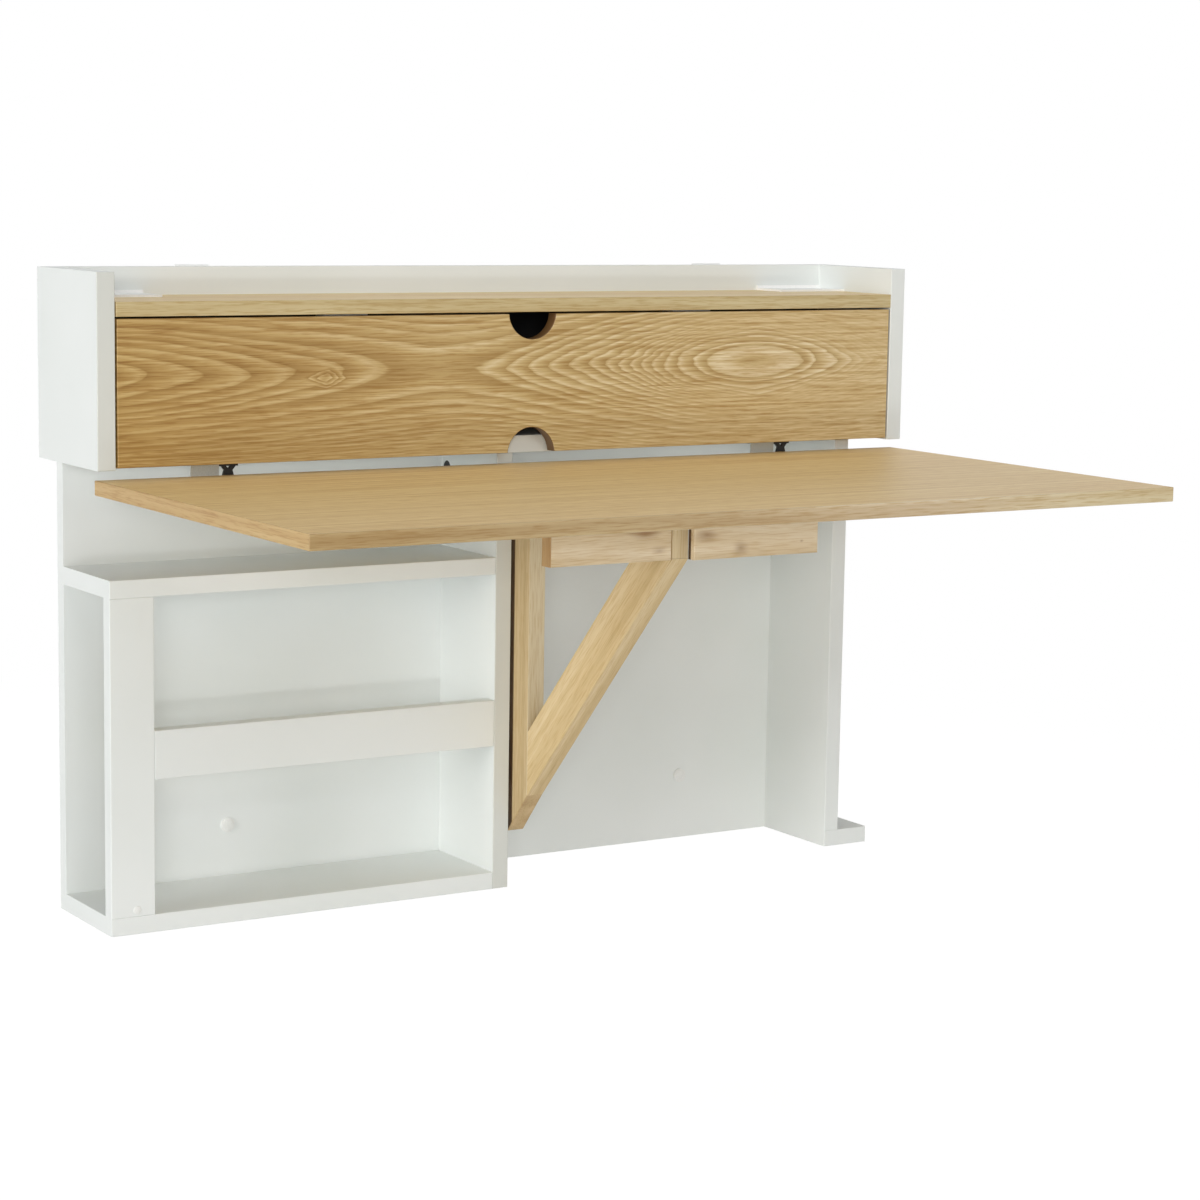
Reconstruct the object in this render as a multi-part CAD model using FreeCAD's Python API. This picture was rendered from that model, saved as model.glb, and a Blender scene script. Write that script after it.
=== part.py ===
import FreeCAD, Part
import os
from FreeCAD import Vector

# Fold down wall desk. Millimetres. X to the right, the front faces -Y, Z up.
# The pieces are drawn from the unit's lower edge and lowered to the wall screws' centre when they are saved.
os.makedirs("parts", exist_ok=True)

# Boards
side_board = 18.0
base_board = 17.5
back_board = 15.0
oak_board = 14.0
slim_board = 15.0
edge_round = 0.8

# Upper tier
cabinet_width = 928.0
cabinet_depth = 148.0
cabinet_height = 183.5
overall_height = 632.0
tray_depth = 27.3
floor_setback = 18.5
lipping_depth = 12.0
lipping_gap = 1.2

# Lower tier
base_depth = 130.0
bookshelf_drop = 105.5
divider_offset_share = 0.0215517
post_width = 45.0
rail_foot_share = 0.434402
rail_height = 47.5
right_foot_length = 56.0

# Writing leaf
leaf_end_inset = 2.5
leaf_depth = 451.0
leaf_tuck = 14.3
leaf_gap = 9.8

# Battens under the leaf
batten_height = 51.0
left_batten_thickness = 15.0
right_batten_thickness = 10.0
left_batten_length = 131.5
right_batten_length = 141.0
right_batten_overlap = 0.2
stop_gap = 0.4
pass_gap = 0.5

# Gate bracket
gate_thickness = 18.0
gate_reach = 299.0
gate_setback = 8.0
stile_depth = 38.0
gate_rail_height = 50.0
gate_head_gap = 0.3
gate_side_gap = 4.1
brace_foot = 101.0
brace_drop = 66.0
stile_foot_drop = 43.5

# Drop-front flap
flap_gap = 2.0
notch_radius = 27.0
notch_offset = 2.0
flap_axis_rise = 5.5
flap_axis_inset = 10.0
pivot_radius = 2.0
bush_radius = 3.0
bush_length = 12.0
pivot_bury = 10.0

# Small fits
running_fit = 0.05
seat_fit = 0.1
overrun = 1.0

# Leaf hinges
leaf_hinge_inset = 68.0
leaf_axis_setback = 4.2
leaf_axis_drop = 2.7
leaf_knuckle_radius = 3.5
leaf_pin_radius = 1.6
arm_plate_length = 56.0
arm_plate_width = 20.0
arm_plate_thickness = 2.0
arm_thickness = 3.0
arm_top_width = 15.0
arm_waist_width = 8.5
arm_low_width = 17.0
arm_low_rise = 6.0
arm_waist_drop = 4.0
arm_notch_width = 5.0
arm_notch_depth = 2.6
arm_knuckle_width = 12.0
side_knuckle_width = 6.0
knuckle_gap = 0.3
wing_width = 29.0
wing_drop = 14.0
wing_reach = 16.0
wing_thickness = 1.5
cup_radius = 17.3
cup_wall = 1.0
cup_depth = 9.7
cup_setback = 22.0
flange_width = 52.0
flange_length = 40.0
flange_thickness = 1.6

# Gate hinges
gate_hinge_low = 130.0
gate_hinge_drop = 39.4
gate_hinge_length = 50.0
gate_hinge_plate = 1.5
gate_hinge_leaf_width = 24.0
gate_moving_leaf_width = 15.0
gate_knuckle_radius = 3.0
gate_knuckle_offset = 3.2
gate_pin_radius = 1.5
gate_knuckle_share = 0.4

# Screws
screw_radius = 1.6
screw_length = 9.0
screw_head_radius = 3.4
screw_head_height = 1.0
arm_screw_shares = (0.25, 0.65)
gate_screw_shares = (0.25, 0.75)
gate_screw_inset = 9.0
gate_moving_screw_inset = 9.0

# Wall fixing
wall_spacing_x = 546.0
wall_row_low = 70.0
wall_row_drop = 102.0
wall_hole_radius = 3.0
washer_radius = 7.5
washer_thickness = 1.6
washer_hole_radius = 3.2
hanger_x = 304.0
hanger_width = 36.0
hanger_height = 64.0
hanger_thickness = 1.2
hanger_proud = 1.5

# Shelf angles
angle_width = 84.0
angle_depth = 48.0
angle_height = 5.0
angle_thickness = 2.0

# Post cap
cap_radius = 4.0
cap_thickness = 0.8
cap_inset = 26.4
cap_height = 23.8

# Magnetic catches
catch_x = 200.0
catch_width = 46.0
catch_height = 14.0
catch_depth = 20.0
strike_width = 40.0
strike_height = 14.0
strike_thickness = 1.5
strike_gap = 0.3

# Cam fittings at the divider's head
cam_radius = 7.5
cam_depth = 12.3
cam_drop = 24.0
cam_recess = 0.4
cam_shares = (0.09, 0.8)
cam_slot_length = 8.0
cam_slot_width = 1.6
cam_slot_depth = 2.0

# Dowels
dowel_radius = 3.0
dowel_length = 24.0
dowel_shares = (0.3, 0.7)

# Heights and planes worked out from the sizes above
half_width = cabinet_width / 2
cabinet_bottom = overall_height - cabinet_height
inner_half = half_width - side_board
shelf_top = overall_height - tray_depth
shelf_low = shelf_top - oak_board
flap_back = -cabinet_depth + oak_board
floor_front = -cabinet_depth + floor_setback
floor_top = cabinet_bottom + base_board
bookshelf_height = cabinet_bottom - bookshelf_drop
rail_foot = bookshelf_height * rail_foot_share
right_panel_inner = inner_half - right_foot_length
leaf_width = cabinet_width - 2 * leaf_end_inset
leaf_hinge_x = right_panel_inner - leaf_hinge_inset
divider_centre = -cabinet_width * divider_offset_share
divider_left = divider_centre - side_board / 2
divider_right = divider_centre + side_board / 2
leaf_top = cabinet_bottom - leaf_gap
leaf_low = leaf_top - oak_board
leaf_back = -cabinet_depth + leaf_tuck
leaf_front = leaf_back - leaf_depth
leaf_axis_y = leaf_back + leaf_axis_setback
leaf_axis_z = leaf_low - leaf_axis_drop
gate_back = -base_depth + gate_setback
gate_front = gate_back - gate_reach
gate_left = divider_right + gate_side_gap
gate_right = gate_left + gate_thickness
gate_top = leaf_low - gate_head_gap
gate_rail_low = gate_top - gate_rail_height
gate_hinge_heights = (gate_hinge_low, gate_top - gate_hinge_drop)
gate_axis_x = divider_right + gate_knuckle_offset
gate_axis_y = gate_back + gate_knuckle_offset
stile_front = gate_back - stile_depth
flap_low = cabinet_bottom + flap_gap
flap_axis_y = -cabinet_depth + flap_axis_inset
flap_axis_z = flap_low + flap_axis_rise
cup_y = leaf_back - cup_setback
wall_spacing_z = overall_height - wall_row_low - wall_row_drop
datum_height = wall_row_low + wall_spacing_z / 2
along_x = Vector(1, 0, 0)
along_y = Vector(0, 1, 0)
along_z = Vector(0, 0, 1)


def block(x_low, x_high, y_low, y_high, z_low, z_high):
    """A board between two limits along each axis."""
    corner = Vector(x_low, y_low, z_low)
    return Part.makeBox(x_high - x_low, y_high - y_low, z_high - z_low, corner)


def rod(centre, axis, radius, length):
    """A round bar that is centred on a point."""
    return Part.makeCylinder(radius, length, centre - axis * (length / 2), axis)


def plate_yz(points, x_low, x_high):
    """A plate with an outline in Y and Z, from one X to another."""
    corners = [Vector(x_low, y, z) for y, z in points]
    face = Part.Face(Part.makePolygon(corners + corners[:1]))
    return face.extrude(Vector(x_high - x_low, 0, 0))


def eased(shape, front):
    """Rounds the edges that lie in the front plane."""
    picked = []
    for edge in shape.Edges:
        box = edge.BoundBox
        if abs(box.YMin - front) < seat_fit and abs(box.YMax - front) < seat_fit:
            picked.append(edge)
    return shape.makeFillet(edge_round, picked)


def holes(places, radius, length):
    """Tools for a set of holes; each place is a centre and an axis."""
    return [rod(centre, axis, radius, length) for centre, axis in places]


def dowels(places):
    """Loose round dowels at a set of places."""
    return Part.makeCompound(holes(places, dowel_radius, dowel_length))


def bored(shape, places):
    """Cuts the dowel holes of a set of places."""
    return shape.cut(holes(places, dowel_radius + seat_fit, dowel_length + 2 * seat_fit))


def screw(seat, axis):
    """A pan-head screw; the head stands on the seat and the shank runs along the axis."""
    head = Part.makeCylinder(screw_head_radius, screw_head_height, seat - axis * screw_head_height, axis)
    shank = Part.makeCylinder(screw_radius, screw_length, seat, axis)
    return head.fuse(shank).removeSplitter()


def screw_holes(shape, places):
    """Cuts the shank holes of a set of screws."""
    tools = []
    for seat, axis in places:
        tools.append(Part.makeCylinder(screw_radius + seat_fit, screw_length + seat_fit, seat, axis))
    return shape.cut(tools)


def save(shape, node):
    """Lowers a piece to the wall screws' centre and writes it."""
    placed = shape.copy()
    placed.translate(Vector(0, 0, -datum_height))
    placed.exportStep("parts/" + node + ".step")


# Places of the dowels
def carcass_dowel_places():
    """Two dowels at each board end that meets another board's face."""
    places = []
    depth = cabinet_depth - back_board
    for side in (-1, 1):
        for share in dowel_shares:
            y = -back_board - depth * share
            places.append((Vector(side * inner_half, y, shelf_low + oak_board / 2), along_x))
            places.append((Vector(side * inner_half, y, cabinet_bottom + base_board / 2), along_x))
    base = base_depth - back_board
    for share in dowel_shares:
        y = -back_board - base * share
        places.append((Vector(divider_left, y, base_board / 2), along_x))
        places.append((Vector(divider_left, y, bookshelf_height - base_board / 2), along_x))
        places.append((Vector(right_panel_inner + side_board / 2, y, base_board), along_z))
    post_y = -base_depth + slim_board / 2
    for share in dowel_shares:
        x = -inner_half + post_width * share
        places.append((Vector(x, post_y, base_board), along_z))
        places.append((Vector(x, post_y, bookshelf_height - base_board), along_z))
        z = rail_foot + rail_height * share
        places.append((Vector(-inner_half + post_width, post_y, z), along_x))
        places.append((Vector(divider_left, post_y, z), along_x))
    return places


def batten_dowel_places():
    """Two dowels from each batten up into the leaf."""
    places = []
    for x_low, length, y, thickness in batten_rows():
        for share in dowel_shares:
            centre = Vector(x_low + length * share, y + thickness / 2, leaf_low)
            places.append((centre, along_z))
    return places


def gate_dowel_places():
    """Dowels at the three joints of the gate."""
    x = gate_left + gate_thickness / 2
    places = []
    for share in dowel_shares:
        rail_z = gate_rail_low + gate_rail_height * share
        places.append((Vector(x, stile_front, rail_z), along_y))
        places.append((Vector(x, stile_front, brace_foot + brace_drop * share), along_y))
    slope = (gate_rail_low - brace_foot) / (stile_front - gate_front)
    for share in dowel_shares:
        y = gate_front + brace_drop / slope * share
        places.append((Vector(x, y, gate_rail_low), along_z))
    return places


def batten_rows():
    """Left end, length, front plane and thickness of the left and the right batten."""
    left_x = gate_left - stop_gap - left_batten_length
    right_x = gate_right - right_batten_overlap
    right_y = gate_front - pass_gap - right_batten_thickness
    return ((left_x, left_batten_length, gate_front, left_batten_thickness),
            (right_x, right_batten_length, right_y, right_batten_thickness))


# Places of the screws
def arm_screw_places():
    """Screws from the hinge arms up into the compartment floor."""
    seat_z = cabinet_bottom - arm_plate_thickness
    places = []
    for side in (-1, 1):
        for share in arm_screw_shares:
            y = arm_front() + arm_plate_length * (1 - share)
            for edge in (-1, 1):
                x = side * leaf_hinge_x + edge * arm_plate_width / 4
                places.append((Vector(x, y, seat_z), along_z))
    return places


def cup_screw_places():
    """Screws from the cup flanges up into the leaf."""
    places = []
    offset = (cup_radius + flange_width / 2) / 2
    for side in (-1, 1):
        for edge in (-1, 1):
            x = side * leaf_hinge_x + edge * offset
            places.append((Vector(x, cup_y, leaf_low - flange_thickness), along_z))
    return places


def gate_fixed_screw_places():
    """Screws from the fixed hinge leaves into the divider."""
    places = []
    for centre_z in gate_hinge_heights:
        for share in gate_screw_shares:
            z = centre_z + gate_hinge_length * (share - sum(gate_screw_shares) / 2)
            y = gate_axis_y + gate_hinge_leaf_width - gate_screw_inset
            places.append((Vector(divider_right + gate_hinge_plate, y, z), -along_x))
    return places


def gate_moving_screw_places():
    """Screws from the moving hinge leaves into the stile."""
    places = []
    for centre_z in gate_hinge_heights:
        for share in gate_screw_shares:
            z = centre_z + gate_hinge_length * (share - sum(gate_screw_shares) / 2)
            x = gate_axis_x + gate_moving_screw_inset
            places.append((Vector(x, gate_back + gate_hinge_plate, z), -along_y))
    return places


def cam_places():
    """Centres of the cam fittings on the divider's left face."""
    depth = base_depth - back_board
    z = cabinet_bottom - cam_drop
    return [Vector(divider_left, -back_board - depth * share, z) for share in cam_shares]


def wall_hole_places():
    """Centres of the four wall screw holes."""
    places = []
    for side in (-1, 1):
        for row in (0, 1):
            z = wall_row_low + wall_spacing_z * row
            places.append((Vector(side * wall_spacing_x / 2, 0, z), along_y))
    return places


# Carcass boards
def back_panel():
    """Full-height back with wall screw holes and two shallow recesses for the hangers."""
    panel = block(-inner_half, inner_half, -back_board, 0, 0, overall_height)
    panel = panel.cut(holes(wall_hole_places(), wall_hole_radius, 2 * back_board + overrun))
    for hanger in hanger_solids():
        panel = panel.cut(hanger)
    return panel


def upper_side(side):
    """One end of the upper tier, with the blind hole of the flap's end pin."""
    x_low = min(side * inner_half, side * half_width)
    x_high = max(side * inner_half, side * half_width)
    panel = block(x_low, x_high, -cabinet_depth, 0, cabinet_bottom, overall_height)
    panel = eased(panel, -cabinet_depth)
    centre = Vector(side * inner_half, flap_axis_y, flap_axis_z)
    return panel.cut(rod(centre, along_x, pivot_radius + running_fit, 2 * pivot_bury))


def top_shelf():
    """Oak floor of the tray; its front lipping stops just short of the left side."""
    shelf = block(-inner_half, inner_half, -cabinet_depth, -back_board, shelf_low, shelf_top)
    lipping_back = -cabinet_depth + lipping_depth
    shelf = shelf.cut(block(-inner_half, -inner_half + lipping_gap, -cabinet_depth, lipping_back, shelf_low, shelf_top))
    return eased(shelf, -cabinet_depth)


def upper_bottom_board():
    """Floor of the compartment, set back behind the flap."""
    floor = block(-inner_half, inner_half, floor_front, -back_board, cabinet_bottom, floor_top)
    return screw_holes(eased(floor, floor_front), arm_screw_places())


def divider_panel():
    """Upright between the bookshelf and the knee bay, bored for the cam fittings at its head."""
    panel = block(divider_left, divider_right, -base_depth, -back_board, 0, cabinet_bottom)
    panel = screw_holes(eased(panel, -base_depth), gate_fixed_screw_places())
    depth = cam_recess + cam_depth + seat_fit
    return panel.cut([Part.makeCylinder(cam_radius + seat_fit, depth, face, along_x) for face in cam_places()])


def bookshelf_board(z_low):
    """Top or bottom board of the bookshelf."""
    board = block(-inner_half, divider_left, -base_depth, -back_board, z_low, z_low + base_board)
    return eased(board, -base_depth)


def front_post():
    """Front left post of the bookshelf."""
    y_high = -base_depth + slim_board
    z_high = bookshelf_height - base_board
    post = block(-inner_half, -inner_half + post_width, -base_depth, y_high, base_board, z_high)
    return eased(post, -base_depth)


def mid_rail():
    """Rail that keeps the books in."""
    y_high = -base_depth + slim_board
    z_high = rail_foot + rail_height
    rail = block(-inner_half + post_width, divider_left, -base_depth, y_high, rail_foot, z_high)
    return eased(rail, -base_depth)


def right_panel():
    """Right-hand upright of the knee bay."""
    x_high = right_panel_inner + side_board
    panel = block(right_panel_inner, x_high, -base_depth, -back_board, base_board, cabinet_bottom)
    return eased(panel, -base_depth)


def right_foot():
    """Foot plate under the right-hand upright."""
    foot = block(right_panel_inner, inner_half, -base_depth, -back_board, 0, base_board)
    return eased(foot, -base_depth)


# Small carcass pieces
def shelf_angles():
    """White angles on the tray floor, at both ends of the back."""
    solids = []
    for side in (-1, 1):
        x_low = min(side * inner_half, side * (inner_half - angle_width))
        x_high = x_low + angle_width
        y_high = -back_board
        y_step = y_high - angle_thickness
        flat = block(x_low, x_high, y_high - angle_depth, y_high, shelf_top, shelf_top + angle_thickness)
        leg = block(x_low, x_high, y_step, y_high, shelf_top, shelf_top + angle_height)
        solids.append(flat.fuse(leg).removeSplitter())
    return Part.makeCompound(solids)


def hanger_solids():
    """Two steel hanger plates let into the back."""
    z_high = overall_height + hanger_proud
    solids = []
    for side in (-1, 1):
        x_low = side * hanger_x - hanger_width / 2
        x_high = x_low + hanger_width
        solids.append(block(x_low, x_high, -hanger_thickness, 0, z_high - hanger_height, z_high))
    return solids


def cup_washers():
    """Rings around the wall screw holes."""
    solids = []
    for centre, axis in wall_hole_places():
        seat = centre - axis * (back_board + washer_thickness)
        ring = Part.makeCylinder(washer_radius, washer_thickness, seat, axis)
        bore = Part.makeCylinder(washer_hole_radius, washer_thickness, seat, axis)
        solids.append(ring.cut(bore))
    return Part.makeCompound(solids)


def post_cap():
    """Round screw cap low on the post."""
    seat = Vector(-inner_half + cap_inset, -base_depth, cap_height)
    return Part.makeCylinder(cap_radius, cap_thickness, seat, -along_y)


def cams():
    """Round cam fittings, each with a driver slot across its face."""
    solids = []
    for face in cam_places():
        seat = face + along_x * cam_recess
        cam = Part.makeCylinder(cam_radius, cam_depth, seat, along_x)
        half_length = cam_slot_length / 2
        half_slot = cam_slot_width / 2
        slot = block(seat.x, seat.x + cam_slot_depth, seat.y - half_length, seat.y + half_length,
                     seat.z - half_slot, seat.z + half_slot)
        solids.append(cam.cut(slot))
    return Part.makeCompound(solids)


def catches():
    """Magnetic catches under the tray floor."""
    y_low = flap_back + strike_thickness + strike_gap
    solids = []
    for side in (-1, 1):
        x_low = side * catch_x - catch_width / 2
        x_high = x_low + catch_width
        solids.append(block(x_low, x_high, y_low, y_low + catch_depth, shelf_low - catch_height, shelf_low))
    return Part.makeCompound(solids)


def strikes():
    """Steel strike plates on the flap's back."""
    z_high = flap_low + flap_height() - flap_gap
    solids = []
    for side in (-1, 1):
        x_low = side * catch_x - strike_width / 2
        x_high = x_low + strike_width
        y_high = flap_back + strike_thickness
        solids.append(block(x_low, x_high, flap_back, y_high, z_high - strike_height, z_high))
    return Part.makeCompound(solids)


# Leaf hinges
def arm_front():
    """Front plane of the hinge arm's upright."""
    return leaf_axis_y + leaf_knuckle_radius


def hinge_arm(x):
    """Cranked arm: a plate under the floor, a waisted upright with a forked head, and the middle knuckle."""
    front = arm_front()
    y_high = front + arm_thickness
    plate_low = cabinet_bottom - arm_plate_thickness
    half_plate = arm_plate_width / 2
    plate = block(x - half_plate, x + half_plate, front, front + arm_plate_length, plate_low, cabinet_bottom)
    low = leaf_axis_z + arm_low_rise
    waist = plate_low - arm_waist_drop
    steps = [(arm_low_width, low), (arm_waist_width, waist), (arm_top_width, plate_low), (arm_notch_width, plate_low),
             (0, plate_low - arm_notch_depth)]
    right = [Vector(x + width / 2, front, z) for width, z in steps]
    left = [Vector(x - width / 2, front, z) for width, z in reversed(steps[:-1])]
    outline = right + left
    upright = Part.Face(Part.makePolygon(outline + outline[:1])).extrude(Vector(0, arm_thickness, 0))
    half_knuckle = arm_knuckle_width / 2
    neck_low = leaf_axis_z - leaf_knuckle_radius / 2
    neck = block(x - half_knuckle, x + half_knuckle, leaf_axis_y, y_high, neck_low, leaf_axis_z)
    stem = block(x - half_knuckle, x + half_knuckle, front, y_high, leaf_axis_z, low)
    centre = Vector(x, leaf_axis_y, leaf_axis_z)
    knuckle = rod(centre, along_x, leaf_knuckle_radius, arm_knuckle_width)
    arm = plate.fuse([upright, stem, neck, knuckle]).removeSplitter()
    return arm.cut(rod(centre, along_x, leaf_pin_radius + running_fit, arm_knuckle_width + overrun))


def hinge_arms():
    """Both hinge arms with their screw holes."""
    solids = [hinge_arm(-leaf_hinge_x), hinge_arm(leaf_hinge_x)]
    return Part.makeCompound([screw_holes(arm, arm_screw_places()) for arm in solids])


def hinge_wings():
    """Steel angles under the floor, one at the left of each arm."""
    solids = []
    for side in (-1, 1):
        x_high = side * leaf_hinge_x - arm_plate_width / 2
        x_low = x_high - wing_width
        y_low = arm_front()
        z_low = cabinet_bottom - wing_thickness
        flange = block(x_low, x_high, y_low, y_low + wing_reach, z_low, cabinet_bottom)
        leg = block(x_low, x_high, y_low, y_low + wing_thickness, cabinet_bottom - wing_drop, cabinet_bottom)
        solids.append(flange.fuse(leg).removeSplitter())
    return Part.makeCompound(solids)


def hinge_cup(x):
    """Flanged cup in the leaf's underside, with two straps to the outer knuckles."""
    z_low = leaf_low - flange_thickness
    half = flange_width / 2
    half_length = flange_length / 2
    flange = block(x - half, x + half, cup_y - half_length, cup_y + half_length, z_low, leaf_low)
    shell = Part.makeCylinder(cup_radius, cup_depth + flange_thickness, Vector(x, cup_y, z_low), along_z)
    cup = flange.fuse(shell)
    inner = cup_radius - cup_wall
    cup = cup.cut(Part.makeCylinder(inner, cup_depth + flange_thickness - cup_wall, Vector(x, cup_y, z_low), along_z))
    centre = Vector(x, leaf_axis_y, leaf_axis_z)
    for side in (-1, 1):
        offset = side * (arm_knuckle_width / 2 + knuckle_gap + side_knuckle_width / 2)
        middle = x + offset
        knuckle = rod(centre + along_x * offset, along_x, leaf_knuckle_radius, side_knuckle_width)
        strap_y = cup_y + half_length
        strap = block(middle - side_knuckle_width / 2, middle + side_knuckle_width / 2,
                      strap_y, leaf_axis_y, z_low, leaf_low)
        cup = cup.fuse([knuckle, strap])
    cup = cup.removeSplitter()
    span = arm_knuckle_width + 2 * (knuckle_gap + side_knuckle_width) + overrun
    return cup.cut(rod(centre, along_x, leaf_pin_radius + running_fit, span))


def hinge_cups():
    """Both cups with their screw holes."""
    solids = [hinge_cup(-leaf_hinge_x), hinge_cup(leaf_hinge_x)]
    return Part.makeCompound([screw_holes(cup, cup_screw_places()) for cup in solids])


def leaf_pins():
    """Pins of the leaf hinges."""
    span = arm_knuckle_width + 2 * (knuckle_gap + side_knuckle_width)
    solids = []
    for side in (-1, 1):
        centre = Vector(side * leaf_hinge_x, leaf_axis_y, leaf_axis_z)
        solids.append(rod(centre, along_x, leaf_pin_radius, span))
    return Part.makeCompound(solids)


# Gate hinges
def knuckle_at(z_low, z_high, radius):
    """A length of the gate hinges' barrel."""
    return Part.makeCylinder(radius, z_high - z_low, Vector(gate_axis_x, gate_axis_y, z_low), along_z)


def gate_hinge_steps(centre_z):
    """Ends of one hinge and of its middle knuckle."""
    low = centre_z - gate_hinge_length / 2
    high = centre_z + gate_hinge_length / 2
    half_middle = gate_hinge_length * gate_knuckle_share / 2
    return low, centre_z - half_middle, centre_z + half_middle, high


def gate_fixed_leaf(centre_z):
    """Leaf on the divider with the upper and lower knuckles."""
    low, middle_low, middle_high, high = gate_hinge_steps(centre_z)
    plate = block(divider_right, divider_right + gate_hinge_plate,
                  gate_axis_y, gate_axis_y + gate_hinge_leaf_width, low, high)
    clear = knuckle_at(middle_low - knuckle_gap, middle_high + knuckle_gap, gate_knuckle_radius + knuckle_gap)
    plate = plate.cut(clear)
    lower = knuckle_at(low, middle_low - knuckle_gap, gate_knuckle_radius)
    upper = knuckle_at(middle_high + knuckle_gap, high, gate_knuckle_radius)
    leaf = plate.fuse([lower, upper]).removeSplitter()
    leaf = leaf.cut(knuckle_at(low - overrun, high + overrun, gate_pin_radius + running_fit))
    return screw_holes(leaf, gate_fixed_screw_places())


def gate_moving_leaf(centre_z):
    """Leaf on the stile's back with the middle knuckle."""
    low, middle_low, middle_high, high = gate_hinge_steps(centre_z)
    plate = block(gate_axis_x, gate_axis_x + gate_moving_leaf_width,
                  gate_back, gate_back + gate_hinge_plate, low, high)
    plate = plate.cut(knuckle_at(low - overrun, middle_low, gate_knuckle_radius + knuckle_gap))
    plate = plate.cut(knuckle_at(middle_high, high + overrun, gate_knuckle_radius + knuckle_gap))
    leaf = plate.fuse(knuckle_at(middle_low, middle_high, gate_knuckle_radius)).removeSplitter()
    leaf = leaf.cut(knuckle_at(low - overrun, high + overrun, gate_pin_radius + running_fit))
    return screw_holes(leaf, gate_moving_screw_places())


def gate_pins():
    """Pins of the gate hinges."""
    solids = []
    for centre_z in gate_hinge_heights:
        low, middle_low, middle_high, high = gate_hinge_steps(centre_z)
        solids.append(knuckle_at(low, high, gate_pin_radius))
    return Part.makeCompound(solids)


# Leaf
def table_leaf():
    """Writing leaf with the two cup holes in its underside."""
    half = leaf_width / 2
    leaf = block(-half, half, leaf_front, leaf_back, leaf_low, leaf_top)
    leaf = leaf.makeFillet(edge_round, leaf.Edges)
    for side in (-1, 1):
        seat = Vector(side * leaf_hinge_x, cup_y, leaf_low)
        leaf = leaf.cut(Part.makeCylinder(cup_radius + seat_fit, cup_depth + seat_fit, seat, along_z))
    leaf = screw_holes(leaf, cup_screw_places())
    return bored(leaf, batten_dowel_places())


def batten(row):
    """Short batten under the leaf."""
    x_low, length, y_low, thickness = row
    bar = block(x_low, x_low + length, y_low, y_low + thickness, leaf_low - batten_height, leaf_low)
    return bored(eased(bar, y_low), batten_dowel_places())


# Gate
def gate_stile():
    """Upright of the gate; its foot is cut a little steeper than the brace."""
    points = [(stile_front, brace_foot), (stile_front, gate_top), (gate_back, gate_top),
              (gate_back, brace_foot - stile_foot_drop)]
    stile = plate_yz(points, gate_left, gate_right)
    return bored(screw_holes(stile, gate_moving_screw_places()), gate_dowel_places())


def gate_top_rail():
    """Rail that carries the leaf."""
    rail = block(gate_left, gate_right, gate_front, stile_front, gate_rail_low, gate_top)
    return bored(eased(rail, gate_front), gate_dowel_places())


def gate_brace():
    """Slanted brace from the stile's foot to the rail's end."""
    slope = (gate_rail_low - brace_foot) / (stile_front - gate_front)
    points = [(stile_front, brace_foot), (gate_front, gate_rail_low),
              (gate_front + brace_drop / slope, gate_rail_low), (stile_front, brace_foot + brace_drop)]
    return bored(plate_yz(points, gate_left, gate_right), gate_dowel_places())


# Flap
def flap_height():
    """Height between the gaps above and below the flap."""
    return shelf_low - flap_gap - flap_low


def flap_panel():
    """Drop front with a half-moon in each long edge and a blind hole in each end."""
    half = inner_half - flap_gap
    z_high = flap_low + flap_height()
    panel = block(-half, half, -cabinet_depth, flap_back, flap_low, z_high)
    for z in (flap_low - notch_offset, z_high + notch_offset):
        centre = Vector(0, flap_back - oak_board / 2, z)
        panel = panel.cut(rod(centre, along_y, notch_radius, oak_board + 2 * overrun))
    panel = eased(panel, -cabinet_depth)
    for side in (-1, 1):
        centre = Vector(side * half, flap_axis_y, flap_axis_z)
        panel = panel.cut(rod(centre, along_x, bush_radius + seat_fit, 2 * bush_length + 2 * seat_fit))
    return panel


def flap_bushes():
    """Bushes in the flap's ends."""
    half = inner_half - flap_gap
    solids = []
    for side in (-1, 1):
        centre = Vector(side * (half - bush_length / 2), flap_axis_y, flap_axis_z)
        bush = rod(centre, along_x, bush_radius, bush_length)
        solids.append(bush.cut(rod(centre, along_x, pivot_radius + running_fit, bush_length + overrun)))
    return Part.makeCompound(solids)


def flap_pins():
    """End pins that run from the upper sides into the flap."""
    solids = []
    length = pivot_bury + flap_gap + pivot_bury
    for side in (-1, 1):
        centre = Vector(side * (inner_half - flap_gap / 2), flap_axis_y, flap_axis_z)
        solids.append(rod(centre, along_x, pivot_radius, length))
    return Part.makeCompound(solids)


# Save every piece
places = carcass_dowel_places()
save(back_panel(), "back_panel")
save(bored(upper_side(-1), places), "upper_left_side")
save(bored(upper_side(1), places), "upper_right_side")
save(bored(top_shelf(), places), "top_shelf")
save(bored(upper_bottom_board(), places), "upper_bottom_board")
save(bored(divider_panel(), places), "divider_panel")
save(bored(bookshelf_board(bookshelf_height - base_board), places), "shelf_top_board")
save(bored(bookshelf_board(0), places), "shelf_bottom_board")
save(bored(front_post(), places), "shelf_front_post")
save(bored(mid_rail(), places), "shelf_mid_rail")
save(bored(right_panel(), places), "right_side_panel")
save(bored(right_foot(), places), "right_foot_plate")
save(shelf_angles(), "shelf_angle_plates")
save(Part.makeCompound(hanger_solids()), "hanger_plates")
save(cup_washers(), "wall_cup_washers")
save(post_cap(), "post_screw_cap")
save(hinge_arms(), "leaf_hinge_arms")
save(hinge_wings(), "leaf_hinge_wings")
save(leaf_pins(), "leaf_hinge_pins")
save(flap_pins(), "flap_pivot_pins")
save(Part.makeCompound([gate_fixed_leaf(z) for z in gate_hinge_heights]), "gate_hinge_fixed_leaves")
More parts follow.
